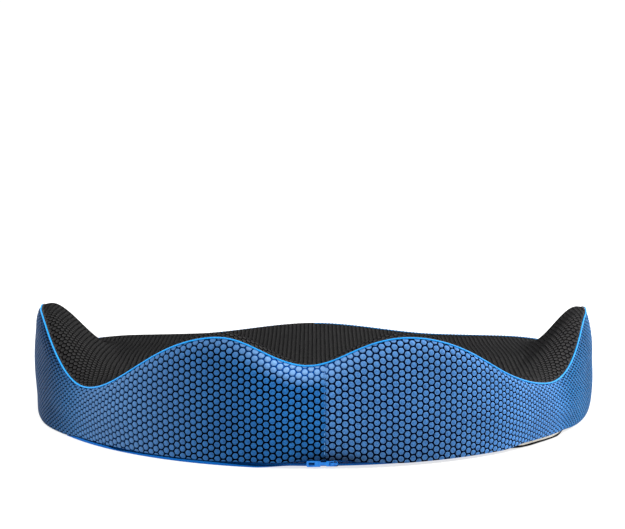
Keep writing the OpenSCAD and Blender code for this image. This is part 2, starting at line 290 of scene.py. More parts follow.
def top_height(s, u, x, y):
    """Height of the top panel, u in from its seam."""
    wing = mix(2.8, 1.6, ease(-40, 40, s))
    crown = mix(4.0, wing, ease(215, 320, np.abs(s))) * (1 - 0.7 * swell(s, 38))
    lift = crown * np.sin(math.pi / 2 * np.clip(u / 14, 0, 1))
    w = ease(4, mix(64, 50, ease(-40, 40, s)), u)
    return mix(seam_z(s) + 0.5 + lift, floor_z(x, y), w)


TOP_V = np.arange(0, 262, 1.0)


def make_top_patch():
    s = np.linspace(-S_HALF, S_HALF, TOP_RAYS + 1)
    edge, _ = rim(s, seam_inset(s) + 0.6)
    ray = edge - MIDDLE
    angle = np.unwrap(np.arctan2(ray[:, 1], ray[:, 0]))
    reach = np.linalg.norm(ray, axis=1)
    even = np.linspace(angle[0], angle[-1], TOP_RAYS + 1)
    s_of = np.interp(even, angle, s)
    reach_of = np.interp(s_of, s, reach)
    k = np.linspace(0, 1, 220)
    pts = np.zeros((TOP_RAYS + 1, len(TOP_V), 3))
    total = np.zeros(TOP_RAYS + 1)
    for i, (a, si, ri) in enumerate(zip(even, s_of, reach_of)):
        r = k * ri
        x, y = MIDDLE[0] + r * math.cos(a), MIDDLE[1] + r * math.sin(a)
        z = top_height(np.full(len(r), si), ri - r, x, y)
        run = np.concatenate([[0], np.cumsum(np.hypot(np.diff(r), np.diff(z)))])
        total[i] = run[-1]
        rr = np.interp(TOP_V, run, r) + np.maximum(TOP_V - run[-1], 0) * 0.7
        zz = np.interp(TOP_V, run, z) - np.maximum(TOP_V - run[-1], 0) * 0.7
        pts[i, :, 0] = MIDDLE[0] + rr * math.cos(a)
        pts[i, :, 1] = MIDDLE[1] + rr * math.sin(a)
        pts[i, :, 2] = zz
    return Patch(even, TOP_V, pts), total


top_patch, top_len = make_top_patch()

# ------------------------------------------------------------- mesh helpers


def new_mesh(
    name, verts, faces, material_index=None, materials=(), smooth=True, uv=None, values=None
):
    """A mesh object from millimetres, with UVs and values for its points."""
    me = bpy.data.meshes.new(name)
    me.from_pydata([tuple(v) for v in np.asarray(verts) * MM], [], faces)
    for m in materials:
        me.materials.append(m)
    if material_index is not None:
        me.polygons.foreach_set("material_index", np.asarray(material_index, np.int32))
    me.polygons.foreach_set("use_smooth", np.full(len(me.polygons), smooth))
    if uv is not None:
        layer = me.uv_layers.new(name="cloth")
        loops = np.zeros(len(me.loops), np.int32)
        me.loops.foreach_get("vertex_index", loops)
        layer.data.foreach_set("uv", np.asarray(uv, np.float32)[loops].ravel())
    if values is not None:
        for key, data in values.items():
            layer = me.attributes.new(key, "FLOAT", "POINT")
            layer.data.foreach_set("value", np.asarray(data, np.float32))
    me.validate()
    me.update()
    ob = bpy.data.objects.new(name, me)
    bpy.context.scene.collection.objects.link(ob)
    return ob


def grid_faces(rows, cols, closed_cols=False, start=0, flip=False):
    """Quads between rows of points."""
    faces = []
    last = cols if closed_cols else cols - 1
    for r in range(rows - 1):
        for c in range(last):
            a = start + r * cols + c
            b = start + r * cols + (c + 1) % cols
            q = (a, b, b + cols, a + cols)
            faces.append(q[::-1] if flip else q)
    return faces


HEX_R = 4.7 / 1.5  # centre to corner, for columns 4.7 mm apart
HEX_UP = math.sqrt(3) * HEX_R


def hex_cloth(name, centres, warp, place, inside, hold, tone, pad_h, ring, materials, rich=True):
    """Cloth of raised pads on a hexagon lattice, mapped onto a surface.

    warp(p) takes lattice points to the cloth as it lies, inside(p) says which
    are kept, hold(p) brings points back to the edge and says how far in they
    lie, place(p) gives their positions and normals, and tone(p) gives the
    painted highlight, the painted light and shade, and how blue the colour is there."""
    sixths = np.radians(np.arange(0, 360, 60))
    corners = np.array([[math.cos(a), math.sin(a)] for a in sixths]) * HEX_R
    keep = np.zeros(len(centres), bool)
    for c in np.concatenate([corners * 0.93, [[0, 0]]]):
        keep |= inside(warp(centres + c))
    centres = centres[keep]
    n = len(centres)
    outer = (centres[:, None, :] + corners[None]).reshape(-1, 2)
    key = np.round(outer / 0.02).astype(np.int64)
    _, first, back = np.unique(key, axis=0, return_index=True, return_inverse=True)
    back = back.reshape(n, 6)
    outer = outer[first]
    m = 12 if rich else 6
    turn = np.arange(m) * 2 * math.pi / m
    corner_out, edge_out = ring
    wave = mix(edge_out, corner_out, 0.5 + 0.5 * np.cos(6 * turn)) if rich else np.full(m, corner_out)
    base = np.stack([np.cos(turn), np.sin(turn)], -1) * wave[:, None]
    rings = [(base, 0.06, 0.0), (base * 0.94, 0.72, 0.5), (base * 0.66, 1.0, 1.0)]
    pts, lift, value = [outer], [np.zeros(len(outer))], [np.zeros(len(outer))]
    starts = []
    total = len(outer)
    for r, h, v in rings:
        starts.append(total)
        q = (centres[:, None, :] + r[None]).reshape(-1, 2)
        pts.append(q)
        lift.append(np.full(len(q), h))
        value.append(np.full(len(q), v))
        total += len(q)
    pts, lift, value = np.concatenate(pts), np.concatenate(lift), np.concatenate(value)
    pts, margin = hold(warp(pts))
    pos, nor = place(pts)
    pos = pos + nor * (lift * pad_h * ease(0.2, 2.6, margin))[:, None]
    faces, slots = [], []

    def add(face, slot):
        p = pts[list(face)]
        x, y = p[:, 0], p[:, 1]
        if abs(np.dot(x, np.roll(y, -1)) - np.dot(y, np.roll(x, -1))) > 0.03:
            faces.append(face)
            slots.append(slot)

    edge = margin < 3.5
    for i in range(n):
        o = back[i]
        a0 = starts[0] + i * m
        cell = []
        if rich:
            for k in range(6):
                c0, c1 = int(o[k]), int(o[(k + 1) % 6])
                p0, p1, p2 = a0 + 2 * k, a0 + 2 * k + 1, a0 + (2 * k + 2) % 12
                cell.append(((c0, c1, p1), 0))
                cell.append(((c0, p1, p0), 0))
                cell.append(((c1, p2, p1), 0))
        else:
            for k in range(6):
                cell.append(((int(o[k]), int(o[(k + 1) % 6]), a0 + (k + 1) % 6, a0 + k), 0))
        for level in range(len(rings) - 1):
            lo, hi = starts[level] + i * m, starts[level + 1] + i * m
            for k in range(m):
                cell.append(((lo + k, lo + (k + 1) % m, hi + (k + 1) % m, hi + k), 1))
        hi = starts[-1] + i * m
        cell.append((tuple(range(hi, hi + m)), 1))
        if edge[a0]:
            for f, t in cell:
                add(f, t)
        else:
            for f, t in cell:
                faces.append(f)
                slots.append(t)
    # Painted highlight, painted light and shade, and blueness at each point.
    pale, painted_light_shade, strong = tone(pts)
    tones = {"pad": value, "pale": pale, "painted_light_shade": painted_light_shade, "strong": strong}
    return new_mesh(name, pos, faces, slots, materials, True, uv=pts, values=tones)


def tube(name, path, up, radius, sides, materials, closed=False):
    """A tube along points, with the given normals as its section's up."""
    path, up = np.asarray(path, float), np.asarray(up, float)
    if closed:
        along = np.roll(path, -1, 0) - np.roll(path, 1, 0)
    else:
        along = np.gradient(path, axis=0)
    along /= np.linalg.norm(along, axis=1, keepdims=True)
    side = np.cross(along, up)
    side /= np.linalg.norm(side, axis=1, keepdims=True)
    up = np.cross(side, along)
    turn = np.arange(sides) * 2 * math.pi / sides
    radius = np.broadcast_to(np.asarray(radius, float), (len(path),))
    pos = (
        path[:, None, :]
        + side[:, None, :] * (np.cos(turn)[None, :, None] * radius[:, None, None])
        + up[:, None, :] * (np.sin(turn)[None, :, None] * radius[:, None, None])
    )
    rows = len(path)
    faces = grid_faces(rows, sides, True, 0, False)
    if closed:
        for c in range(sides):
            a, b = (rows - 1) * sides + c, (rows - 1) * sides + (c + 1) % sides
            faces.append((a, b, (c + 1) % sides, c))
    else:
        faces.append(tuple(range(sides))[::-1])
        faces.append(tuple((rows - 1) * sides + c for c in range(sides)))
    run = np.concatenate([[0], np.cumsum(np.linalg.norm(np.diff(path, axis=0), axis=1))])
    uv = np.stack([np.repeat(run, sides), np.tile(turn * radius.mean(), rows)], -1)
    return new_mesh(name, pos.reshape(-1, 3), faces, None, materials, True, uv=uv)


def stitches(name, path, up, length, gap, radius, materials):
    """Separate thread stitches laid along a path of points."""
    path, up = np.asarray(path, float), np.asarray(up, float)
    run = np.concatenate([[0], np.cumsum(np.linalg.norm(np.diff(path, axis=0), axis=1))])
    count = int((run[-1] - gap) // (length + gap))
    verts, faces = [], []
    prof = [(-0.5, 0.35), (-0.36, 0.9), (0.0, 1.0), (0.36, 0.9), (0.5, 0.35)]
    for i in range(count):
        mid = gap + length / 2 + i * (length + gap)

        def read(arr, d):
            return np.array([np.interp(d, run, arr[:, k]) for k in range(3)])

        c, n = read(path, mid), read(up, mid)
        a, b = read(path, mid - length / 2), read(path, mid + length / 2)
        t = (b - a) / np.linalg.norm(b - a)
        n = n - t * np.dot(n, t)
        n /= np.linalg.norm(n)
        w = np.cross(t, n)
        t = t + w * 0.10
        base = len(verts)
        for f, r in prof:
            dip = -radius * 2 * f * f
            for k in range(6):
                q = k * math.pi / 3
                rise = n * (math.sin(q) * radius * r * 0.8 + dip)
                verts.append(c + t * (f * length) + rise + w * (math.cos(q) * radius * r))
        faces += grid_faces(len(prof), 6, True, base)
        faces.append(tuple(base + k for k in range(6))[::-1])
        top = base + (len(prof) - 1) * 6
        faces.append(tuple(top + k for k in range(6)))
    return new_mesh(name, np.array(verts), faces, None, materials, True)


# ---------------------------------------------------------------- materials


def srgb(r, g, b):
    def lin(c):
        c /= 255
        return c / 12.92 if c <= 0.04045 else ((c + 0.055) / 1.055) ** 2.4

    return (lin(r), lin(g), lin(b), 1.0)


class Look:
    """A principled material and short ways to wire nodes into it."""

    def __init__(self, name, rough=0.8, sheen=0.0, sheen_rough=0.5, metal=0.0, coat=0.0, spec=0.4):
        self.m = bpy.data.materials.new(name)
        self.m.use_nodes = True
        self.t = self.m.node_tree
        self.s = self.t.nodes["Principled BSDF"]
        put = self.s.inputs
        put["Roughness"].default_value = rough
        put["Metallic"].default_value = metal
        put["Sheen Weight"].default_value = sheen
        put["Sheen Roughness"].default_value = sheen_rough
        put["Coat Weight"].default_value = coat
        put["Coat Roughness"].default_value = 0.12
        put["Specular IOR Level"].default_value = spec

    def node(self, kind, **values):
        n = self.t.nodes.new("ShaderNode" + kind)
        for k, v in values.items():
            if hasattr(n, k):
                setattr(n, k, v)
            else:
                n.inputs[k.replace("_", " ")].default_value = v
        return n

    def link(self, a, b):
        self.t.links.new(a, b)

    def noise(self, vector, scale, detail=2.0, rough=0.5):
        n = self.node("TexNoise")
        n.inputs["Scale"].default_value = scale
        n.inputs["Detail"].default_value = detail
        n.inputs["Roughness"].default_value = rough
        self.link(vector, n.inputs["Vector"])
        return n.outputs["Fac"]

    def ramp(self, fac, stops):
        n = self.node("ValToRGB")
        r = n.color_ramp
        while len(r.elements) < len(stops):
            r.elements.new(0.5)
        for e, (p, c) in zip(r.elements, stops):
            e.position, e.color = p, c
        self.link(fac, n.inputs["Fac"])
        return n.outputs["Color"]

    def blend(self, fac, a, b, mode="MIX"):
        n = self.node("Mix")
        n.data_type, n.blend_type = "RGBA", mode
        for sock, v in ((n.inputs[0], fac), (n.inputs[6], a), (n.inputs[7], b)):
            if hasattr(v, "links"):
                self.link(v, sock)
            else:
                sock.default_value = v
        return n.outputs[2]

    def maths(self, op, a, b=0.5):
        n = self.node("Math")
        n.operation = op
        for sock, v in ((n.inputs[0], a), (n.inputs[1], b)):
            if hasattr(v, "links"):
                self.link(v, sock)
            else:
                sock.default_value = v
        return n.outputs[0]

    def bump(self, height, strength, distance):
        n = self.node("Bump")
        n.inputs["Strength"].default_value = strength
        n.inputs["Distance"].default_value = distance
        self.link(height, n.inputs["Height"])
        self.link(n.outputs["Normal"], self.s.inputs["Normal"])


def coords(look):
    return look.node("TexCoord").outputs["Object"]


def grey(v):
    return (v, v, v, 1)


def knit(look, pitch_mm):
    """Height of a small two-way knit, about pitch_mm across a loop."""
    k = 2 * math.pi / pitch_mm
    split = look.node("SeparateXYZ")
    look.link(look.node("UVMap").outputs["UV"], split.inputs[0])
    a = look.maths("SINE", look.maths("MULTIPLY", split.outputs[0], k))
    b = look.maths("SINE", look.maths("MULTIPLY", split.outputs[1], k))
    c = look.maths("MULTIPLY", a, b)
    return look.maths("MULTIPLY_ADD", c, 0.5)


def painted_light_tone(look, colour, pale, power=1.0):
    """Painted light and shade, read from the mesh: a painted highlight in the pale colour, a bluer
    colour where the mesh says so, and painted light and shade that darkens or brightens the rest.
    """
    painted_highlight_at, painted_light_shade_at, strong_at = (
        look.node("Attribute", attribute_name=k).outputs["Fac"] for k in ("pale", "painted_light_shade", "strong")
    )
    # Painted highlight, blended in toward the pale colour.
    colour = look.blend(look.maths("POWER", painted_highlight_at, power), colour, pale)
    bluer = look.blend(strong_at, grey(1), (0.3, 0.96, 1.08, 1))
    colour = look.blend(1.0, colour, bluer, "MULTIPLY")
    # Painted light and shade, multiplied into the colour.
    return look.blend(1.0, colour, painted_light_shade_at, "MULTIPLY")


def mesh_cloth(name, low, high, edge, deep, pale, rough, sheen, spec=0.2):
    """Two materials of one cloth: the raised pads and the ground between."""
    pad = Look(name + "_pads", rough, sheen, 0.4, spec=spec)
    obj = coords(pad)
    large = pad.noise(obj, 24.0, 3.0, 0.55)
    fine = pad.noise(obj, 900.0, 2.0, 0.6)
    body = pad.ramp(large, [(0.32, low), (0.68, high)])
    attr = pad.node("Attribute", attribute_name="pad").outputs["Fac"]
    # Painted highlight: each pad's rim is lit up in the edge colour.
    light = pad.ramp(attr, [(0.3, grey(0)), (0.5, grey(0.9)), (0.85, grey(0.1))])
    colour = pad.blend(light, body, edge)
    dark = pad.ramp(attr, [(0.28, grey(1)), (0.47, grey(0))])
    colour = pad.blend(dark, colour, deep)
    speck = pad.ramp(fine, [(0.32, (0.58, 0.62, 0.66, 1)), (0.66, (1.36, 1.26, 1.16, 1))])
    colour = pad.blend(1.0, colour, speck, "MULTIPLY")
    # The pads' colour then takes the painted highlight, in pale[0], and the painted light and shade
    # stored on the mesh.
    pad.link(painted_light_tone(pad, colour, pale[0]), pad.s.inputs["Base Color"])
    weave = pad.maths("ADD", knit(pad, 0.62), pad.maths("MULTIPLY", fine, 0.9))
    pad.bump(weave, 0.5, 0.00018)

    ground = Look(name + "_ground", 0.9, 0.0, spec=0.0)
    obj = coords(ground)
    n = ground.noise(obj, 1300.0, 2.0)
    shade = ground.ramp(n, [(0.3, tuple(c * 0.5 for c in deep[:3]) + (1,)), (0.7, deep)])
    # The ground takes the same painted highlight, in pale[1], and painted light and shade.
    ground.link(painted_light_tone(ground, shade, pale[1], 2.0), ground.s.inputs["Base Color"])
    ground.bump(n, 0.6, 0.0002)
    return ground.m, pad.m


# Colours of the painted highlight on the band's pads and on its ground.
blue_painted_highlight = (srgb(112, 156, 206), srgb(12, 70, 140))
blue_left = mesh_cloth(
    "blue_mesh_left",
    srgb(12, 86, 156),
    srgb(24, 102, 174),
    srgb(50, 122, 190),
    srgb(0, 3, 18),
    blue_painted_highlight,
    0.45,
    0.0,
    0.1,
)
# The right band's colours are lighter and greyer than the left's: partly its nap laid the other way,
# partly painted light from the right-hand lamp.
blue_right = mesh_cloth(
    "blue_mesh_right",
    srgb(46, 102, 166),
    srgb(62, 118, 184),
    srgb(98, 150, 206),
    srgb(0, 12, 44),
    blue_painted_highlight,
    0.5,
    0.0,
    0.12,
)
black_mesh = mesh_cloth(
    "black_mesh",
    srgb(24, 24, 25),
    srgb(32, 32, 33),
    srgb(48, 48, 49),
    srgb(8, 8, 9),
    (srgb(48, 48, 49), srgb(20, 20, 21)),
    0.6,
    0.05,
)


def thread_look(name, low, high, rough=0.55, sheen=0.1):
    k = Look(name, rough, sheen)
    obj = coords(k)
    n = k.noise(obj, 1500.0, 2.0)
    k.link(k.ramp(n, [(0.3, low), (0.7, high)]), k.s.inputs["Base Color"])
    k.bump(n, 0.5, 0.0001)
    return k.m


def cord_look(name, low, high):
    """Covered piping: a fine diagonal rib round the cord."""
    k = Look(name, 0.5, 0.0, spec=0.3)
    uv = k.node("UVMap").outputs["UV"]
    split = k.node("SeparateXYZ")
    k.link(uv, split.inputs[0])
    along = k.maths("MULTIPLY", split.outputs[0], 7.0)
    round_it = k.maths("MULTIPLY", split.outputs[1], 6.0)
    rib = k.maths("SINE", k.maths("ADD", along, round_it))
    n = k.noise(coords(k), 500.0)
    k.link(k.ramp(n, [(0.3, low), (0.7, high)]), k.s.inputs["Base Color"])
    k.bump(rib, 0.25, 0.00012)
    return k.m


def woven_look(name, low, high, pitch, rough=0.7):
    """Plain woven tape or cloth, from crossed waves in object space."""
    k = Look(name, rough, 0.0, spec=0.08)
    obj = coords(k)
    split = k.node("SeparateXYZ")
    k.link(obj, split.inputs[0])
    w = 2 * math.pi / (pitch * MM)
    x, y = split.outputs[0], split.outputs[1]
    a = k.maths("SINE", k.maths("MULTIPLY", k.maths("ADD", x, y), w))
    b = k.maths("SINE", k.maths("MULTIPLY", k.maths("SUBTRACT", x, y), w))
    c = k.maths("SINE", k.maths("MULTIPLY", split.outputs[2], w * 1.4))
    h = k.maths("ADD", k.maths("MULTIPLY", a, c), k.maths("MULTIPLY", b, 0.6))
    n = k.noise(obj, 300.0)
    fac = k.maths("MULTIPLY_ADD", h, 0.22)
    fac = k.maths("ADD", fac, k.maths("MULTIPLY", n, 0.3))
    k.link(k.ramp(fac, [(0.2, low), (0.9, high)]), k.s.inputs["Base Color"])
    k.bump(h, 0.5, 0.00012)
    return k.m


piping_look = cord_look("blue_piping", srgb(0, 138, 218), srgb(0, 158, 238))
dark_thread = thread_look("dark_thread", srgb(28, 14, 8), srgb(52, 28, 14))
pale_thread = thread_look("pale_thread", srgb(84, 146, 206), srgb(112, 170, 224))
blue_thread = thread_look("blue_thread", srgb(52, 106, 170), srgb(84, 134, 190))
tape_look = woven_look("zip_tape", srgb(0, 80, 156), srgb(0, 100, 184), 0.55)
base_look = woven_look("anti_slip_cloth", srgb(14, 14, 15), srgb(30, 30, 31), 0.8, 0.85)
liner_look = woven_look("liner_knit", srgb(196, 190, 178), srgb(226, 221, 210), 0.7, 0.9)


def coil_material():
    k = Look("zip_coil", 0.35, spec=0.5)
    n = k.noise(coords(k), 700.0)
    k.link(k.ramp(n, [(0.3, srgb(0, 46, 108)), (0.7, srgb(0, 64, 140))]), k.s.inputs["Base Color"])
    k.bump(n, 0.2, 0.00005)
    return k.m


def lacquer_material(name, low, high):
    k = Look(name, 0.3, metal=0.1, coat=0.15, spec=0.3)
    obj = coords(k)
    n = k.noise(obj, 420.0, 3.0)
    k.link(k.ramp(n, [(0.3, low), (0.7, high)]), k.s.inputs["Base Color"])
    k.link(
        k.ramp(k.noise(obj, 1400.0), [(0.3, grey(0.18)), (0.7, grey(0.34))]),
        k.s.inputs["Roughness"],
    )
    k.bump(k.noise(obj, 800.0), 0.25, 0.00006)
    return k.m


def silicone_material():
    k = Look("silicone_dots", 0.5, spec=0.45)
    n = k.noise(coords(k), 600.0)
    k.link(k.ramp(n, [(0.3, srgb(26, 26, 27)), (0.7, srgb(40, 40, 42))]), k.s.inputs["Base Color"])
    k.bump(n, 0.2, 0.0001)
    return k.m


def foam_material():
    k = Look("memory_foam", 0.95, 0.1)
    obj = coords(k)
    v = k.node("TexVoronoi")
    v.inputs["Scale"].default_value = 700.0
    k.link(obj, v.inputs["Vector"])
    k.link(
        k.ramp(v.outputs["Distance"], [(0.1, srgb(198, 184, 148)), (0.6, srgb(240, 232, 206))]),
        k.s.inputs["Base Color"],
    )
    k.bump(v.outputs["Distance"], 0.5, 0.0006)
    return k.m


coil_look, silicone_look, foam_look = coil_material(), silicone_material(), foam_material()
lacquer = lacquer_material("blue_lacquer", srgb(0, 104, 200), srgb(8, 136, 230))
# Dark lacquer for the zip stops, and painted shade on the slider's plate.
dark_lacquer_and_painted_shade = lacquer_material("dark_blue_lacquer_and_painted_shade", srgb(0, 26, 70), srgb(0, 44, 100))

# ------------------------------------------------------------------- pieces


def lattice(u0, u1, v0, v1, shift=(0.0, 0.0)):
    """Centres of the hexagons that cover a rectangle."""
    span = math.hypot(u1 - u0, v1 - v0)
    cu, cv = (u0 + u1) / 2, (v0 + v1) / 2
    ni = int(span / (1.5 * HEX_R) / 2) + 3
    nj = int(span / HEX_UP / 2) + 3
    i, j = np.meshgrid(np.arange(-ni, ni + 1), np.arange(-nj, nj + 1), indexing="ij")
    u = i * 1.5 * HEX_R
    v = (j + 0.5 * (i % 2)) * HEX_UP
    p = np.stack([u.ravel(), v.ravel()], -1) + [cu + shift[0], cv + shift[1]]
    ok = (p[:, 0] > u0 - 6) & (p[:, 0] < u1 + 6) & (p[:, 1] > v0 - 6) & (p[:, 1] < v1 + 6)
    return p[ok]


BAND_ORDER = np.argsort(wrap(BAND_S))


def band_top(s):
    """Length of the band's profile, from its lower edge to the piping."""
    return np.interp(s, wrap(BAND_S)[BAND_ORDER], band_len[BAND_ORDER])


def slack(s):
    """How wide a pad lies: the mesh is stretched over the rear, and slack
    toward the wings."""
    right = 0.36 * ease(90, 215, s) * (1 - ease(300, 380, s))
    left = 0.32 * ease(125, 245, -s) * (1 - ease(300, 380, -s))
    return 1 - right - left


SLACK_S = np.linspace(-S_HALF - 20, S_HALF + 20, 2001)
SLACK_U = np.diff(SLACK_S) / slack((SLACK_S[1:] + SLACK_S[:-1]) / 2)
SLACK_U = np.concatenate([[0], np.cumsum(SLACK_U)])
SLACK_U -= np.interp(0, SLACK_S, SLACK_U)
LEVEL_ROW = 30  # this row of pads stays level, the others draw in toward it


def warp_band(p):
    s = np.interp(p[:, 0], SLACK_U, SLACK_S)
    return np.stack([s, LEVEL_ROW + (p[:, 1] - LEVEL_ROW) * slack(s)], -1)


def band_piece(name, node, s0, s1, looks, shift):
    """One strip of the side band, from s0 to s1 along the rim."""
    centres = lattice(s0 - 130, s1 + 130, -50, 162, shift)

    def inside(p):
        s, v = p[:, 0], p[:, 1]
        return (s > s0) & (s < s1) & (v > 0) & (v < band_top(np.clip(s, s0, s1)) - 0.2)

    def hold(p):
        s = np.clip(p[:, 0], s0, s1)
        top = band_top(s) - 0.2
        v = np.clip(p[:, 1], 0, top)
        margin = np.minimum(np.minimum(s - s0, s1 - s), np.minimum(v + 0.8, top - v))
        return np.stack([s, v], -1), margin

    def place(p):
        pos, nor = band_patch.at(p[:, 0], p[:, 1])
        d = np.minimum(np.abs(p[:, 0] - SEAM_S), S_HALF - np.abs(p[:, 0]))
        return pos - nor * (1.0 * swell(d, 1.7))[:, None], nor

    # Painted light and shade on the band: a painted highlight where it rolls in at the rear dip, near
    # the top by the left hump, across the left side and near the top right of the seam; painted shade
    # at its foot, round the slider, left of the seam, on the wings and at the far left; painted light
    # on the right side; bluer toward the far sides; evened out toward the front.
    def tone(p):
        s, v = p[:, 0], p[:, 1]
        down = band_top(np.clip(s, s0, s1)) - v
        pale = 1.1 * swell(s + 14, 40) * (1 - ease(4, 19, down))
        pale = pale + 0.3 * swell(s + 74, 36) * (1 - ease(0, 12, down))
        pale = pale + 0.5 * swell(s + 172, 75) + 0.14 * swell(s - 70, 50) * (1 - ease(4, 30, down))
        painted_light_shade = mix(mix(0.85, 1.06, ease(0, 45, v)), 1.0, ease(110, 160, s) + ease(30, 80, -s))
        painted_light_shade = painted_light_shade * (1 - 0.5 * swell(s - 22, 40) * (1 - ease(0, 12, v)))
        painted_light_shade = painted_light_shade * (1 - 0.6 * swell(s - 14, 24) * (1 - ease(1, 6, v)))
        wing = ease(215, 255, s)
        painted_light_shade = painted_light_shade * (1 + 0.34 * ease(90, 175, s) * (1 - wing) - 0.25 * wing)
        painted_light_shade = painted_light_shade * (1 - 0.26 * ease(258, 300, s)) * mix(1.0, 0.72, ease(15, 80, -s))
        painted_light_shade = painted_light_shade * mix(1.0, 0.34, ease(200, 275, -s))
        strong = ease(205, 255, s) + 0.5 * ease(195, 235, -s) + 0.5 * ease(235, 275, -s)
        front = ease(340, 460, np.abs(s))
        pale = mix(pale, np.where(s < 0, 0.28, 0.0), front)
        return np.clip(pale, 0, 1), mix(painted_light_shade, 1.0, front), mix(strong, 0.25, front)

    ob = hex_cloth(name, centres, warp_band, place, inside, hold, tone, 0.95, (2.34, 2.24), looks)
    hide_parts(node)
    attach(ob, "cushion")


LAP = 0.05
band_piece("Side_Band_Left", "side_band_left", LAP - S_HALF, SEAM_S + LAP, blue_left, (0, 0))
band_piece("Side_Band_Right", "side_band_right", SEAM_S - LAP, S_HALF - LAP, blue_right, (1.9, 1.6))


def top_reach(angle):
    return np.interp(angle, top_patch.us, top_len)


def fold_angle(a):
    lo = top_patch.us[0]
    return lo + np.mod(a - lo, 2 * math.pi)


def top_piece():
    """The black seat mesh, on a finer lattice than the band's."""
    fine = 0.76
    reach = 262 / fine
    centres = lattice(-reach, reach, -reach, reach)

    def warp(p):
        return p * fine

    def polar(p):
        return fold_angle(np.arctan2(p[:, 1], p[:, 0])), np.hypot(p[:, 0], p[:, 1])

    def inside(p):
        a, r = polar(p)
        return r < top_reach(a) - 0.2

    def hold(p):
        a, r = polar(p)
        lim = top_reach(a) - 0.2
        rr = np.minimum(r, lim)
        return np.stack([rr * np.cos(a), rr * np.sin(a)], -1), lim - rr

    def place(p):
        a, r = polar(p)
        return top_patch.at(a, r)

    # Painted light and shade on the black mesh: a little darker on the left, up to twice as bright on
    # the right wing; no painted highlight and no blue shift.
    def tone(p):
        x = p[:, 0]
        painted_light_shade = mix(0.85, 1.0, ease(-160, -60, x)) * mix(1.0, 2.0, ease(110, 190, x))
        return 0 * x, painted_light_shade, 0 * x

    ring = (2.45, 2.3)
    ob = hex_cloth(
        "Top_Panel", centres, warp, place, inside, hold, tone, 0.7, ring, black_mesh, rich=False
    )
    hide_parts("top_panel")
    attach(ob, "cushion")


top_piece()


def seam_path(step, inset_extra, rise):
    """Points beside the top seam, with the way up there."""
    count = int(2 * S_HALF / step)
    s = -S_HALF + (np.arange(count) + 0.5) * (2 * S_HALF / count)
    xy, n = rim(s, seam_inset(s) + inset_extra)
    up = np.concatenate([n * 0.35, np.ones((count, 1))], -1)
    return np.concatenate([xy, (seam_z(s) + rise)[:, None]], -1), up


def ride(ob, slot, *nodes, body="cushion"):
    if nodes:
        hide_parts(*nodes)
    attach(ob, body)
    return ob


def top_seam():
    """The piping, and the row of stitches inside it."""
    piping = tube("Piping", *seam_path(3.0, -0.2, 0.4), 0.6, 10, [piping_look], closed=True)
    ride(piping, "piping_cord", "piping")
    row = seam_path(1.5, 1.15, 1.15)
    ride(stitches("Seam_Stitches", *row, 2.0, 1.1, 0.33, [dark_thread]), "black_mesh")


top_seam()


def rear_seam_stitches():
    """One fine row beside the rear seam, its lower part in paler thread."""
    high = band_top(np.array([SEAM_S]))[0]
    for name, v0, v1, look in (
        ("Rear_Seam_Stitches_Low", 3.0, 28.0, pale_thread),
        ("Rear_Seam_Stitches_High", 30.0, high - 3, blue_thread),
    ):
        v = np.arange(v0, v1, 0.5)
        pos, nor = band_patch.at(np.full(len(v), SEAM_S - 0.9), v)
        ride(stitches(name, pos + nor * 0.1, nor, 2.2, 1.5, 0.26, [look]), "blue_mesh")


rear_seam_stitches()

# ------------------------------------------------------- liner, foam, base


def ring_path(s, inset, z):
    """Points on the outline, set in, at height z."""
    xy, n = rim(s, inset)
    return np.concatenate([xy, np.broadcast_to(np.asarray(z, float), s.shape)[:, None]], -1)


def base_piece():
    """Anti-slip cloth: flat underneath, its edge a soft lip where it is loose."""
    s = np.linspace(-S_HALF, S_HALF, 701)[:-1]
    gape = open_zip(s)
    border = tuck(s, band_low(s))
    edge = mix(mix(9.0, border + 0.3, past_zip(s)), border + 1.6, gape)
    ripple = gape * (0.8 * np.sin(s / 5.2) + 0.5 * np.sin(s / 3.1 + 1.0))
    low = 0.8
    rows = [
        (edge + 30, low),
        (edge + 5, low),
        (edge + 1.2, low + 0.05 - 0.5 * gape),
        (edge + 0.2 + 0.2 * ripple, low + 0.3 - 0.45 * gape),
        (edge + 0.4 * ripple, low + 0.6 - gape * (0.1 - 0.2 * ripple)),
        (edge + 0.7 + 0.3 * ripple, low + 0.75 + gape * (0.8 + 0.4 * ripple)),
        (edge + 6, low + 0.62 + gape * 0.5),
        (edge + 30, low + 0.6),
    ]
    verts = np.concatenate([ring_path(s, d, z) for d, z in rows])
    n = len(s)
    faces = grid_faces(len(rows), n, True, 0, True)
    k = len(verts)
    verts = np.concatenate([verts, [[0, 0, low], [0, 0, low + 0.6]]])
    last = (len(rows) - 1) * n
    for c in range(n):
        d = (c + 1) % n
        faces.append((c, d, k))
        faces.append((last + d, last + c, k + 1))
    ob = new_mesh("Bottom_Panel", verts, faces, None, [base_look])
    return ride(ob, "base_cloth", "bottom_panel")


base_piece()


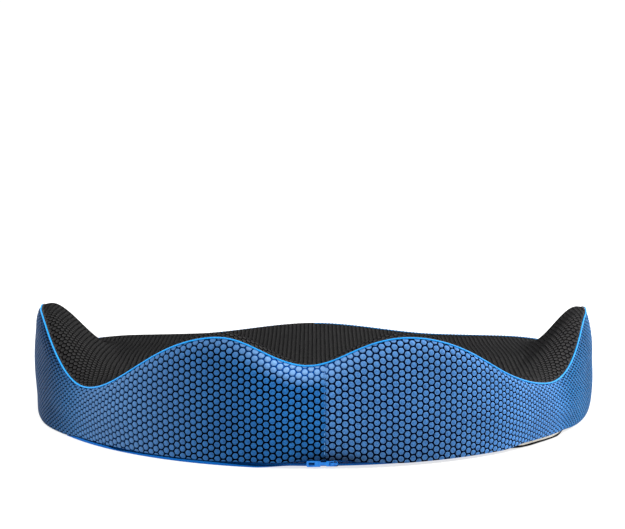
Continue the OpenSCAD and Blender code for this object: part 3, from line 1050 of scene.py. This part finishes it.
def dots_piece():
    """Each grip dot as a low dome, on the CAD model's own spots."""
    verts, faces = [], []
    pitch = 26.0
    row = pitch * math.sin(math.radians(60))
    border = 24
    across, along = REAR_R - border, FRONT_Y - WIDE_Y - border
    prof = [(3.0, 0.8), (2.95, 0.45), (2.6, 0.18), (1.8, 0.03)]
    sides = 20
    for j in range(-9, 10):
        for i in range(-9, 10):
            x, y = pitch * (i + (0 if j % 2 == 0 else 0.5)), row * j
            if y < WIDE_Y:
                ok = math.hypot(x, y - WIDE_Y) < across
            else:
                ok = (abs(x) / across) ** 3 + ((y - WIDE_Y) / along) ** 3 < 1
            if not ok:
                continue
            base = len(verts)
            for r, z in prof:
                for k in range(sides):
                    a = k * 2 * math.pi / sides
                    verts.append((x + r * math.cos(a), y + r * math.sin(a), z))
            verts.append((x, y, 0.0))
            faces += grid_faces(len(prof), sides, True, base, True)
            tip = base + len(prof) * sides
            for k in range(sides):
                faces.append((tip - sides + k, tip, tip - sides + (k + 1) % sides))
            faces.append(tuple(base + k for k in range(sides)))
    ob = new_mesh("Grip_Dots", np.array(verts), faces, None, [silicone_look])
    return ride(ob, "silicone", "grip_dots")


dots_piece()


def copy_node(node, name, material):
    """A new object with a copy of a CAD node's mesh, in one material."""
    src = next(o for o in bpy.data.objects if o.type == "MESH" and o.name == node)
    me = src.data.copy()
    me.name = name
    me.materials.clear()
    me.materials.append(material)
    ob = bpy.data.objects.new(name, me)
    bpy.context.scene.collection.objects.link(ob)
    ob.matrix_world = src.matrix_world
    return ob


def apply_modifiers(ob):
    dg = bpy.context.evaluated_depsgraph_get()
    me = bpy.data.meshes.new_from_object(ob.evaluated_get(dg))
    ob.modifiers.clear()
    ob.data = me
    return ob


def weld(ob):
    """Joins the CAD mesh's loose corners and merges its flat faces."""
    bm = bmesh.new()
    bm.from_mesh(ob.data)
    bmesh.ops.remove_doubles(bm, verts=bm.verts, dist=1e-6)
    bmesh.ops.dissolve_limit(bm, angle_limit=math.radians(0.5), verts=bm.verts, edges=bm.edges)
    bm.to_mesh(ob.data)
    bm.free()
    return ob


def layer(name, material, levels, gap, opening):
    """A layer under the cover: from below, up behind the band, over the top."""
    s = np.linspace(-S_HALF, S_HALF, 561)[:-1]
    gape = open_zip(s)
    loose = 0.3 * np.sin(s / 9.0) + 0.25 * np.sin(s / 5.3 + 2.0)
    rows = []
    base = levels[0][1]
    if opening:
        rim0, _ = rim(s, levels[0][0])
        mouth = rim0 + (MIDDLE - rim0) * 0.6
        rows.append(np.concatenate([mouth, np.full((len(s), 1), base)], -1))
    for d, z, d_open, up in levels:
        inset = mix(d, tuck(s, band_low(s)) + d_open + loose, gape)
        rows.append(ring_path(s, inset, z + up * gape))
    high = seam_z(s) - gap - 0.4
    for k in np.linspace(0, 1, 9):
        z = mix(16.5, high, k)
        rows.append(ring_path(s, np.maximum(band_inset(s, z) + gap, levels[-1][0] - 0.3), z))
    edge, _ = rim(s, seam_inset(s) + gap + 1.0)
    reach = np.linalg.norm(edge - MIDDLE, axis=1)
    for k in (np.arange(1, 17) / 17) ** 1.5:
        xy = edge + (MIDDLE - edge) * k
        z = top_height(s, k * reach + gap, xy[:, 0], xy[:, 1]) - gap * 1.15
        rows.append(np.concatenate([xy, z[:, None]], -1))
    verts = np.concatenate(rows)
    n = len(s)
    faces = grid_faces(len(rows), n, True, 0, True)
    tip = len(verts)
    verts = np.concatenate([verts, [[*MIDDLE, floor_z(*MIDDLE) - gap * 1.15], [*MIDDLE, base]]])
    last = (len(rows) - 1) * n
    for c in range(n):
        d = (c + 1) % n
        faces.append((last + d, last + c, tip))
        if not opening:
            faces.append((c, d, tip + 1))
    return new_mesh(name, verts, faces, None, [material])


# Levels are (inset, height, inset from the band's edge and lift where the zip
# stands open).
LINER_LEVELS = [
    (12.0, 2.1, 9.0, 0.0),
    (8.6, 2.2, 4.2, 0.0),
    (7.6, 4.4, 1.6, -2.1),
    (7.2, 6.2, 1.4, -1.9),
    (5.8, 10.3, 3.2, 0.0),
    (4.2, 13.3, 4.2, 0.0),
]
FOAM_LEVELS = [
    (13.0, 3.1, 12.0, 0.8),
    (9.7, 3.4, 8.0, 1.2),
    (8.7, 6.3, 6.5, 0.4),
    (6.9, 10.6, 6.2, 0.0),
    (5.3, 13.6, 5.3, 0.0),
]
ride(layer("Inner_Liner", liner_look, LINER_LEVELS, 2.4, True), "liner_knit", "inner_liner")
foam = ride(layer("Foam_Core", foam_look, FOAM_LEVELS, 3.4, False), "foam", "foam_core")

# ---------------------------------------------------------------------- zip
TAPE_R = 225.0


def arc_point(angle, radius, z):
    """Point at an angle about the rear arc's centre."""
    x, y = radius * np.sin(angle), WIDE_Y - radius * np.cos(angle)
    return np.stack([x, y, z * np.ones_like(angle)], -1)


def lip(s):
    """How far out the lower tape's folded edge lies, and how high it stands."""
    out = ease(-239, -231, s) * (1 - ease(-46, -16, s))
    wave = 1 + 0.16 * np.sin(s / 17.0 + 0.6) + 0.08 * np.sin(s / 7.3)
    wave = wave * (1 - 0.7 * swell(s + 163, 9)) * (1 - 0.6 * ease(-70, -30, s))
    return out, wave * out * mix(0.1, 1.0, ease(-234, -212, s))


def tape(name, node, rows):
    """A zip tape from its section's points: radius, height, how each moves
    where the zip stands open, and how each moves with the folded lip."""
    angle = np.linspace(-TAPE_END, TAPE_END, 481)
    s = angle * REAR_R
    gape, (out, up) = open_zip(s), lip(s)
    verts = []
    for radius, z, r_open, z_open, r_lip, z_lip, z_up in rows:
        height = z + z_open * gape + z_lip * out + z_up * up
        verts.append(arc_point(angle, radius + r_open * gape + r_lip * out, height))
    verts = np.concatenate(verts)
    n = len(angle)
    faces = grid_faces(len(rows), n)
    last = (len(rows) - 1) * n
    for c in range(n - 1):
        faces.append((last + c, last + c + 1, c + 1, c))
    faces.append(tuple(r * n for r in range(len(rows)))[::-1])
    faces.append(tuple(r * n + n - 1 for r in range(len(rows))))
    ob = new_mesh(name, verts, faces, None, [tape_look], smooth=False)
    return ride(ob, "zip_tape", node)


tape(
    "Zip_Tape_Upper",
    "zip_tape_upper",
    [
        (224.5, ZIP_Z + 0.3, 0.3, 2.4, 0, 0, 0),
        (225.0, ZIP_Z + 0.3, 0.8, 2.4, 0, 0, 0),
        (225.0, 7.2, 0.8, 1.4, 0, 0, 0),
        (227.1, 12.0, 0.2, 0.5, 0, 0, 0),
        (226.6, 12.0, 0.2, 0.5, 0, 0, 0),
        (224.5, 7.4, 0.3, 1.4, 0, 0, 0),
    ],
)
tape(
    "Zip_Tape_Lower",
    "zip_tape_lower",
    [
        (214.0, 1.5, 0.0, 0.0, 0, 0, 0),
        (224.4, 1.45, -6.5, 0.0, 0, -0.5, 0),
        (225.0, 1.2, -6.5, 0.3, 4.8, -1.0, 0),
        (225.0, 1.3, -6.5, 0.3, 5.4, -0.9, 0.6),
        (225.0, 1.4, -6.5, 0.3, 5.3, -0.9, 1.55),
        (225.0, 1.45, -6.6, 0.3, 4.9, -0.9, 1.5),
        (225.0, 1.5, -6.7, 0.3, 4.8, -0.7, 0),
        (225.0, 1.6, -6.8, 0.3, 0.0, -0.5, 0),
        (225.0, ZIP_Z - 0.3, -8.0, -0.4, 0, 0, 0),
        (224.5, ZIP_Z - 0.3, -8.5, -0.4, 0, 0, 0),
        (224.5, 1.9, -7.0, 0.3, 0, 0, 0),
        (214.0, 1.9, 0.0, 0.2, 0, 0, 0),
    ],
)


def coil(name, node, side, r_open, z_open):
    """A wound nylon coil along the tape's edge."""
    turns = 430
    per = 9
    loop_r = 0.38
    k = np.arange(turns * per + 1) / per
    angle = mix(-ZIP_HALF, ZIP_HALF, k / turns)
    gape = open_zip(angle * REAR_R)
    phase = 2 * math.pi * k
    out, high = np.cos(phase), np.sin(phase) * side
    radius = TAPE_R + 0.65 + loop_r * out + r_open * gape
    z = ZIP_Z + side * 0.82 + loop_r * high + z_open * gape
    path = arc_point(angle, radius, z)
    up = np.stack([np.sin(angle) * out, -np.cos(angle) * out, high], -1)
    ob = tube(name, path, up, 0.16, 5, [coil_look])
    return ride(ob, "zip_coil", node)


coil("Zip_Coil_Upper", "zip_coil_upper", 1, 0.8, 2.2)
coil("Zip_Coil_Lower", "zip_coil_lower", -1, -8.0, -0.4)


def hard_piece(node, name, material, body, bevel=0.12):
    """A CAD node's own shape with its edges rounded."""
    ob = weld(copy_node(node, name, material))
    mod = ob.modifiers.new("edge", "BEVEL")
    mod.width = bevel * MM
    mod.segments = 2
    mod.limit_method = "ANGLE"
    mod.angle_limit = math.radians(35)
    apply_modifiers(ob)
    ob.data.polygons.foreach_set("use_smooth", np.ones(len(ob.data.polygons), bool))
    return ride(ob, "zip_metal", node, body=body)


def slider_pieces():
    """The slider, dark as painted shade but for its arch, and the lacquered rim of its plate."""
    slider = hard_piece("slider_body", "Slider_Body", lacquer, "slider")
    slider.data.materials.append(dark_lacquer_and_painted_shade)
    # Painted shade: every face inside the arch's reach takes the dark lacquer, standing in for the
    # shade under the arch.
    plate_top = 227.45 * MM
    for face in slider.data.polygons:
        c = slider.matrix_world @ face.center
        if math.hypot(c.x, c.y - WIDE_Y * MM) < plate_top:
            face.material_index = 1
    turn = np.arange(40) * math.pi / 20
    angle = SLIDER_ANGLE + 3.05 * np.cos(turn) / 227.3
    path = arc_point(angle, 227.35, ZIP_Z + 2.05 * np.sin(turn))
    up = np.stack([np.sin(angle), -np.cos(angle), 0 * turn], -1)
    edge = tube("Slider_Rim", path, up, 0.36, 8, [lacquer], closed=True)
    ride(edge, "zip_metal", body="slider")


slider_pieces()
hard_piece("pull_tab", "Pull_Tab", lacquer, "tab", 0.16)
hard_piece("zip_top_stop_upper", "Zip_Top_Stop_Upper", dark_lacquer_and_painted_shade, "cushion")
hard_piece("zip_top_stop_lower", "Zip_Top_Stop_Lower", dark_lacquer_and_painted_shade, "cushion")
hard_piece("zip_bottom_stop", "Zip_Bottom_Stop", dark_lacquer_and_painted_shade, "cushion")

# ------------------------------------------------------------- floor, light


def floor_material():
    m = bpy.data.materials.new("pale_floor")
    m.use_nodes = True
    b = m.node_tree.nodes["Principled BSDF"]
    b.inputs["Base Color"].default_value = (0.4, 0.4, 0.4, 1)
    b.inputs["Roughness"].default_value = 0.9
    b.inputs["Specular IOR Level"].default_value = 0.0
    b.inputs["Emission Color"].default_value = (1, 1, 1, 1)
    b.inputs["Emission Strength"].default_value = 0.72
    return m


bpy.ops.mesh.primitive_plane_add(size=60, location=(0, 20, 0))
floor = bpy.context.object
floor.name = "Floor"
floor.data.materials.append(floor_material())

world = bpy.data.worlds.new("studio")
bpy.context.scene.world = world
world.use_nodes = True
world.node_tree.nodes["Background"].inputs[0].default_value = (1, 1, 1, 1)
world.node_tree.nodes["Background"].inputs[1].default_value = 0.75


def softbox(name, place, target, size, power):
    data = bpy.data.lights.new(name, "AREA")
    data.shape = "RECTANGLE"
    data.size, data.size_y = size
    data.energy = power
    ob = bpy.data.objects.new(name, data)
    bpy.context.scene.collection.objects.link(ob)
    ob.location = place
    ob.rotation_mode = "QUATERNION"
    ob.rotation_quaternion = (Vector(target) - Vector(place)).to_track_quat("-Z", "Y")


def around(azimuth, elevation, distance):
    """A place seen from the cushion, azimuth turned from the rear toward +X."""
    a, e = math.radians(azimuth), math.radians(elevation)
    level = distance * math.cos(e)
    return (level * math.sin(a), -level * math.cos(a), distance * math.sin(e))


softbox("Key_Right", around(108, 32, 2.0), (0.05, 0, 0.05), (0.9, 0.9), 42)
softbox("Fill_Left", around(-92, 6, 2.0), (-0.05, 0, 0.05), (0.5, 0.5), 16)
softbox("Top", around(0, 78, 1.9), (0, 0, 0.05), (1.2, 0.9), 28)

# ------------------------------------------------------------------- camera
TARGET = Vector((0, 0, 0.05))
ELEVATION = math.radians(11)
DISTANCE = 1.8
cam_data = bpy.data.cameras.new("Camera")
cam_data.sensor_width = 36.0
cam_data.lens = 125.75
cam = bpy.data.objects.new("Camera", cam_data)
bpy.context.scene.collection.objects.link(cam)
cam.location = TARGET + DISTANCE * Vector((0, -math.cos(ELEVATION), math.sin(ELEVATION)))
AIM_UP = math.radians(2.2615)
AIM_TURN = math.radians(0.059)
cam.rotation_euler = (math.pi / 2 - ELEVATION + AIM_UP, 0, AIM_TURN)
cam_data.clip_start, cam_data.clip_end = 0.05, 50
bpy.context.scene.camera = cam
bpy.context.scene.view_settings.view_transform = "Standard"
